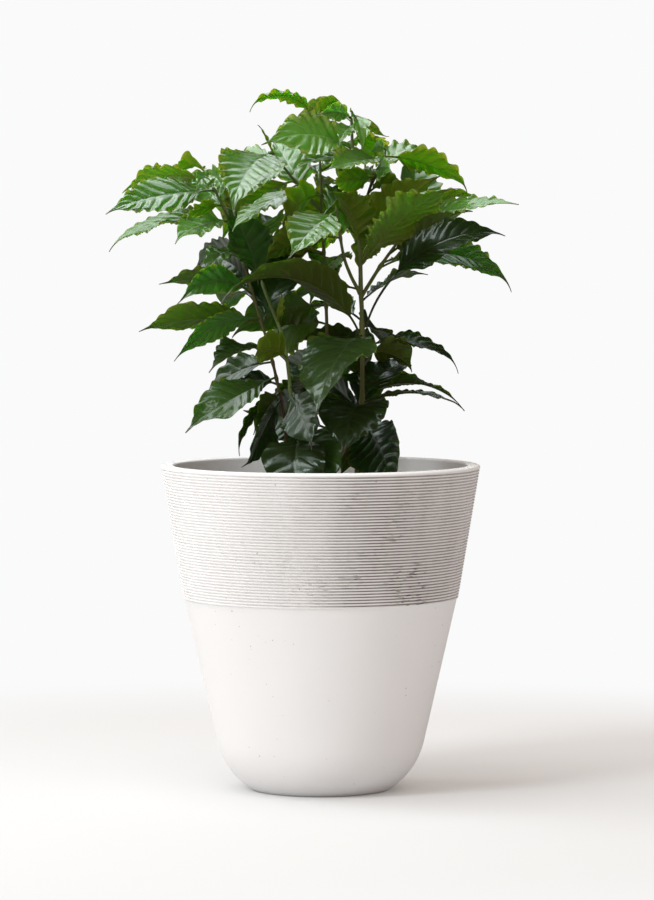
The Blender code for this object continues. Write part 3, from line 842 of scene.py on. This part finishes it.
def leaf_skin(name, veins, blade_colours, vein_colours, roughness, relief, coat, see_through, depth):
    """A leaf surface whose colour goes from old to young with the leaf's stored tone, which is its age and,
    on a few leaves, painted backlight.

    It is paler along the veins and brown at the tip.
    """
    material, tree = start_material(name)
    pattern = node(tree, "Group", {"node_tree": veins}, Vein_Width=VEIN_WIDTH).outputs
    youth = times(tree, stored(tree, "youth"), maths(tree, "MULTIPLY_ADD", pattern["Mottle"], 0.5, 0.75))
    blade, vein = blend(tree, youth, *blade_colours), blend(tree, youth, *vein_colours)
    veined = blend(tree, times(tree, pattern["Veins"], 0.7), blade, vein)
    set_shader(
        tree,
        Base_Color=blend(tree, pattern["Tip"], veined, TIP_BROWN),
        Roughness=spread(tree, pattern["Mottle"], 0.0, 1.0, roughness - 0.06, roughness + 0.06),
        Subsurface_Weight=see_through,
        Subsurface_Radius=SEE_THROUGH,
        Subsurface_Scale=depth,
        Coat_Weight=coat,
        Coat_Roughness=0.08,
        Specular_IOR_Level=0.22,
        Specular_Tint=SHEEN_TINT,
        Normal=bump(tree, pattern["Relief"], 0.0005, relief),
    )
    return material


def leaf_skins():
    """The upper and under skin for each slot."""
    veins, skins = leaf_group(), {}
    for slot, (_, *light, gloss) in LEAF_SLOTS.items():
        upper = leaf_skin(f"{slot}_upper", veins, *UPPER_SKIN, gloss, *light)
        skins[slot] = [upper, leaf_skin(f"{slot}_under", veins, *UNDER_SKIN, 0.0, *light)]
    return skins


skins = leaf_skins()


def read_leaf(name):
    """The middle line, the direction across and the greatest width of a leaf solid.

    In each ring the two corners furthest apart are its edges, which stand above the middle on the upper
    side. Rings that lie the other way round are turned to match the widest.
    """
    rings, tip = LEAF_RINGS[name]
    apart = np.linalg.norm(rings[:, :, None] - rings[:, None], axis=-1).reshape(len(rings), 16)
    first, second = np.divmod(apart.argmax(axis=1), 4)
    pick = np.arange(len(rings))
    left, right = rings[pick, first], rings[pick, second]
    middle = (rings.sum(axis=1) - left - right) / 2.0
    spine = np.vstack([middle, tip])
    widest = int(apart.max(axis=1).argmax())
    across = unit(right - left)
    turns = np.cumprod(np.append(1.0, np.sign((across[1:] * across[:-1]).sum(axis=1))))[:, None]
    across = across * turns * turns[widest]
    tangent = unit(np.gradient(spine, axis=0))
    lift = (left[widest] + right[widest]) / 2.0 - middle[widest]
    if np.cross(tangent[widest], across[widest]) @ lift < 0.0:
        across = -across
    gaps = np.linalg.norm(np.diff(spine, axis=0), axis=1)
    stations = np.concatenate([[0.0], np.cumsum(gaps)]) / gaps.sum()
    fine = np.linspace(0.0, 1.0, int(np.clip(gaps.sum() / LEAF_STEP, 36, 96)) + 1)
    bend = np.stack([np.polyval(np.polyfit(stations, column, 5), fine) for column in spine.T], axis=-1)
    sides = np.stack([np.interp(fine, stations[:-1], column) for column in across.T], axis=-1)
    return bend, smoothed(sides, 4), apart.max()


def leaf_outline(along, stalk):
    """Half the blade's width as a share of the greatest, along the whole leaf; also the place on the blade.

    There is nothing on the stalk; then it follows the outline's points, softened by a raised-cosine window.
    """
    blade = np.clip((along - stalk) / (1.0 - stalk), 0.0, 1.0)
    dense = np.linspace(0.0, 1.0, 401)
    curve = np.interp(dense, OUTLINE_ALONG, OUTLINE_WIDE)
    window = np.hanning(OUTLINE_SOFT)
    padded = np.pad(curve, OUTLINE_SOFT // 2, mode="reflect", reflect_type="odd")
    soft = np.convolve(padded, window / window.sum(), "valid")
    return np.interp(blade, dense, soft) * (along >= stalk), blade


def wander(rng, places, knots, low, high):
    """A smooth random value between low and high at each place from 0 to 1."""
    share = places * (knots - 1)
    left = np.clip(np.floor(share), 0, knots - 2).astype(int)
    part = 0.5 - 0.5 * np.cos(np.pi * np.clip(share - left, 0.0, 1.0))
    values = rng.uniform(low, high, knots)
    return values[left] * (1.0 - part) + values[left + 1] * part


def leaf_surface(spine, across, width, stalk, rng, ruffle, quilt, fold):
    """One leaf with its stalk: a flat section carried along the middle line.

    Along it (i) the half-width follows the outline, cut back a little where each vein ends. Across it (j)
    the section folds by a power of the distance from the midrib. Skin height is a rounded pillow between
    two veins, plus a ruffle that grows with the cube of the distance to the edge, plus one slow wave on
    each side. The rib is a groove above and a keel below; the thin tip curls down and to one side.
    """
    count = len(spine)
    length = np.linalg.norm(np.diff(spine, axis=0), axis=1).sum()
    along = np.linspace(0.0, 1.0, count)[:, None]
    shape, blade = leaf_outline(along, stalk)

    def both_sides(knots=6, low=-1.0, high=1.0):
        """A smooth random value along the blade, another one on its other side."""
        return np.where(right, *(wander(rng, blade, knots, low, high) for _ in range(2)))

    tangent = unit(np.gradient(spine, axis=0))
    over = unit(np.cross(tangent, across))
    across = np.cross(over, tangent)
    twist = np.radians(rng.normal(0.0, LEAF_TWIST_DEG)) * along**1.5
    cos, sin = np.cos(twist), np.sin(twist)
    across, over = cos * across - sin * over, cos * over + sin * across
    tail = np.clip((blade - 0.80) / 0.20, 0.0, 1.0) ** 2
    sideways = rng.normal(0.0, LEAF_BOW) * length * along**2 + rng.normal(0.0, 0.6) * DRIP_CURL * tail
    spine = spine + sideways * across - DRIP_CURL * rng.uniform(0.2, 1.2) * tail * over

    s = np.linspace(-1.0, 1.0, LEAF_COLUMNS)
    v = np.sign(s) * np.abs(s) ** COLUMN_CROWD
    side, right = np.abs(v), v > 0.0
    pairs = np.clip(np.round(length * (1.0 - stalk) / VEIN_SPACING), 4, 10) * rng.uniform(0.94, 1.06)
    start = rng.uniform(0.0, 1.0)
    pitch = blade + 0.05 * wander(rng, blade, 5, -1.0, 1.0)
    offset = np.where(right, VEIN_OFFSET, -VEIN_OFFSET)
    phase = pairs * (pitch - VEIN_SLANT * side**1.35) + offset * np.clip(side * 8.0, 0.0, 1.0) + start
    edge_phase = pairs * (pitch - VEIN_SLANT) + offset + start
    lobes = both_sides(int(pairs) + 2, 0.2, 1.5)

    taper = np.clip(shape * 1.5, 0.0, 1.0)
    notch = 1.0 - np.abs(np.sin(np.pi * edge_phase))
    half = 0.5 * width * shape - NOTCH_DEPTH * ruffle * lobes * notch * taper
    half = half * (1.0 + 0.03 * both_sides())
    slim = np.where(blade < 0.5, STALK_WIDE, DRIP_WIDE)
    half = np.maximum(half, slim * (1.0 - 0.5 * np.clip(blade * 2.0 - 1.0, 0.0, 1.0)))
    pillow = np.abs(np.sin(np.pi * phase)) ** 0.8 - 0.6
    hill = quilt * pillow * np.clip(side / 0.22, 0.0, 1.0) * (1.0 - 0.6 * side**2) * taper
    edge = ruffle * lobes * (np.abs(np.sin(np.pi * (phase + 0.12))) - 0.5) * side**3 * taper
    slow = SLOW_WAVE * width * both_sides() * side**2 * taper
    lift = fold * half * side**1.3 + hill + edge + slow
    opened = np.clip(shape * 6.0, 0.0, 1.0)
    thick = STALK_THICK * (1.0 - 0.6 * blade) * np.sqrt(np.clip(1.0 - v**2, 0.0, 1.0)) * (1.0 - opened)
    thick = thick + BLADE_THICK * (1.0 - side**10) * opened
    rib = np.exp(-((v * half / RIB_WIDTH) ** 2)) * (1.0 - 0.75 * blade) * opened

    level = spine[:, None] + (v * half)[..., None] * across[:, None]
    upper = level + (lift + thick - RIB_GROOVE * rib)[..., None] * over[:, None]
    lower = level + (lift - thick - RIB_KEEL * rib)[..., None] * over[:, None]
    ring = np.concatenate([upper, lower[:, -2:0:-1]], axis=1)
    points = np.vstack([ring.reshape(-1, 3), ring[0].mean(axis=0), ring[-1].mean(axis=0)])
    size = ring.shape[1]
    quads, fans = tube_faces(count, size)
    under = np.tile(np.arange(size) >= LEAF_COLUMNS - 1, count - 1)
    drip = np.clip((blade - 0.86) / 0.10, 0.0, 1.0) * rng.uniform(0.35, 0.95)
    fields = {}
    for name, values in (("vein", phase), ("across", v), ("drip", drip)):
        values = np.broadcast_to(values, (count, LEAF_COLUMNS))
        loop = np.concatenate([values, values[:, -2:0:-1]], axis=1).ravel()
        fields[name] = np.append(loop, [loop[0], loop[-1]])
    return (points, quads[:, [0, 3, 2, 1]], fans[:, [0, 2, 1]]), under, fields


def leaf_piece(name, leaves, youths, solids, slot):
    """One piece of one or more leaves, with its vein pattern and tone stored on its vertices: the age, plus
    painted backlight on a few leaves.
    """
    surfaces, unders, fields = zip(*leaves)
    points, quads, triangles = merged(surfaces)
    under = np.concatenate([*unders, np.zeros(len(triangles), bool)])
    made = mesh_object(name, points, quads, triangles, skins[slot], under)
    for field in fields[0]:
        vertex_value(made, field, np.concatenate([own[field] for own in fields]))
    vertex_value(made, "youth", np.repeat(youths, [len(surface[0]) for surface in surfaces]))
    made.data.set_sharp_from_angle(angle=math.radians(EDGE_SHARP_DEG))
    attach(made, "root")
    if solids:
        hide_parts(*solids)


def leaf_age(height):
    """How young a leaf at this height is: 0 for the oldest, 1 for the youngest, in a smooth step."""
    share = min(max((height - OLD_LEAF_Z) / (YOUNG_LEAF_Z - OLD_LEAF_Z), 0.0), 1.0)
    return share * share * (3.0 - 2.0 * share)


def height_slot(height):
    """The material slot of a leaf that grows at this height."""
    return next(slot for slot, (below, *_) in LEAF_SLOTS.items() if height < below)


def ruffles(width, youth):
    """How deep the edge's ruffle and the skin's quilting are: more on a wide leaf and on a young one."""
    size = (width / 0.05) ** 0.5
    return {"ruffle": (0.0034 + 0.0024 * youth) * size, "quilt": (0.0006 + 0.0010 * youth) * size}


def build_grown_leaves():
    """Every full-grown leaf, in the place of its solid."""
    for number, name in enumerate(LEAF_RINGS):
        rng = np.random.default_rng(100 + number)
        spine, across, width = read_leaf(name)
        root = spine[0] - STALK_ROOT * unit(spine[1] - spine[0])
        spine = np.vstack([root, spine[1:]])
        youth = leaf_age(spine[0, 2])
        stalk, fold = LONG_STALKS.get(name, STALK_SHARE), rng.uniform(0.05, 0.30)
        leaf = leaf_surface(spine, across, width, stalk, rng, fold=fold, **ruffles(width, youth))
        # On a few leaves the tone carries painted backlight as well as age.
        tone = youth + rng.uniform(-0.22, 0.16) + OWN_TONE_AND_BACKLIGHT.get(name, 0.0)
        leaf_piece(name.replace("leaf_", "blade_"), [leaf], [tone], [name], height_slot(spine[0, 2]))


build_grown_leaves()

# ------------ Further leaves ------------
# Small folded leaves crowd the shoot tips, and more full-grown ones fill the plant's back and inside.
# They grow from the same stems, each by its own bend and turn.

# For each stem its leaves: height, length and width in millimetres, then bearing, rise, droop and roll
# in degrees.
TIP_LEAVES = """
main_stem
515 68 48 -129 86 74 8
595 65 24 -156 6 34 30
624 57 21 -103 -6 25 7
631 42 19 -137 30 51 88
631 39 11 13 -13 33 88
632 67 21 -79 19 112 24
right_shoot
495 92 31 39 19 41 37
545 60 16 -11 48 70 39
centre_stem
634 24 10 -117 37 67 -70
637 31 16 26 69 77 61
upper_shoot
595 34 5 -154 69 13 -15
left_stem
373 77 13 -149 -21 60 -64
373 65 25 -117 -22 24 -70
549 62 16 -125 0 23 -67
573 48 16 -105 20 60 38
576 35 23 -63 13 70 -75
580 45 25 139 48 106 -29
front_stem
407 54 36 -126 38 70 -62
441 37 10 -76 62 21 66
back_stem
389 60 36 -94 -7 52 27
424 67 28 -161 7 21 -44
580 63 28 -78 17 33 -84
604 38 13 -116 32 73 88
"""
INNER_LEAVES = """
main_stem
368 100 50 61 37 35 3
434 114 44 74 9 46 -40
598 76 33 143 8 4 -43
606 79 36 103 13 42 5
625 96 54 80 1 57 -37
628 84 28 130 32 64 -59
right_shoot
503 108 56 36 32 16 60
513 115 53 85 35 45 -39
531 84 44 208 6 93 -75
531 90 47 86 60 26 -35
centre_stem
338 99 51 147 16 18 75
388 110 52 120 -2 53 14
437 109 53 137 12 69 -116
477 110 49 99 17 59 0
502 95 44 141 16 44 1
537 112 53 36 55 71 8
582 84 38 60 17 21 4
upper_shoot
562 75 42 124 48 10 34
572 118 52 137 -9 42 -17
left_stem
381 76 25 136 18 83 72
436 112 51 58 70 70 -9
461 117 41 127 62 96 70
494 110 52 72 53 58 -8
546 63 35 137 49 33 54
556 111 55 87 28 84 23
back_stem
326 50 25 121 -22 63 -40
349 109 47 101 33 64 -10
352 116 62 139 40 33 100
379 90 41 -99 56 34 -29
397 55 26 64 -29 86 18
408 112 53 116 8 79 -2
458 75 37 27 42 41 13
468 106 35 -173 22 98 -9
503 110 51 64 34 63 17
543 111 53 105 23 31 2
554 118 65 148 -11 47 -36
561 40 19 21 48 85 48
577 84 38 34 59 94 -20
"""
FOOT_OUT = 0.0006
ROLL_RUN = 0.18
# Leaves of a younger stem are younger than their height says.
YOUNG_STEMS = {"front_stem": 0.6}


def grown_from(stem, height, length, bearing, rise, droop, roll):
    """Middle line and direction across of a leaf that starts on a stem's surface.

    The line leaves towards its bearing at the rise angle and bends down evenly by the droop angle. The
    blade is rolled about that line over its first part.
    """
    path = stem_paths[stem]
    centre = np.array([np.interp(height, path[:, 2], path[:, axis]) for axis in range(3)])
    ahead, up = np.array([math.cos(bearing), math.sin(bearing), 0.0]), np.array([0.0, 0.0, 1.0])
    foot = centre + FOOT_OUT * ahead
    share = np.linspace(0.0, 1.0, int(np.clip(length / LEAF_STEP, 24, 96)) + 1)[:, None]
    angle = rise - droop * share
    out, climb = (math.sin(rise) - np.sin(angle)) / droop, (np.cos(angle) - math.cos(rise)) / droop
    spine = foot + length * (out * ahead + climb * up)
    normals = -np.sin(angle) * ahead + np.cos(angle) * up
    sides = np.cross(normals, np.cos(angle) * ahead + np.sin(angle) * up)
    turn = roll * np.clip(share / ROLL_RUN, 0.0, 1.0)
    return spine, np.cos(turn) * sides - np.sin(turn) * normals


def build_further_leaves(kind, table, seed):
    """The leaves of a table, as one piece for each stem and slot."""
    rng = np.random.default_rng(seed)
    groups = {}
    for row in table.strip().split("\n"):
        if row.isidentifier():
            stem = row
            continue
        numbers = np.array(row.split(), float)
        height, length, width = numbers[:3] / 1000.0
        spine, across = grown_from(stem, height, length, *np.radians(numbers[3:]))
        youth = leaf_age(height) + YOUNG_STEMS.get(stem, 0.0)
        fold = rng.uniform(0.1, 0.5)
        leaf = leaf_surface(spine, across, width, STALK_SHARE, rng, fold=fold, **ruffles(width, youth))
        leaves, youths = groups.setdefault((stem, height_slot(height)), ([], []))
        leaves.append(leaf)
        youths.append(youth + rng.uniform(-0.25, 0.1))
    for (stem, slot), (leaves, youths) in groups.items():
        leaf_piece(f"{kind}_{stem}_{slot}", leaves, youths, [], slot)


build_further_leaves("tip_blades", TIP_LEAVES, 7)
build_further_leaves("inner_blades", INNER_LEAVES, 8)
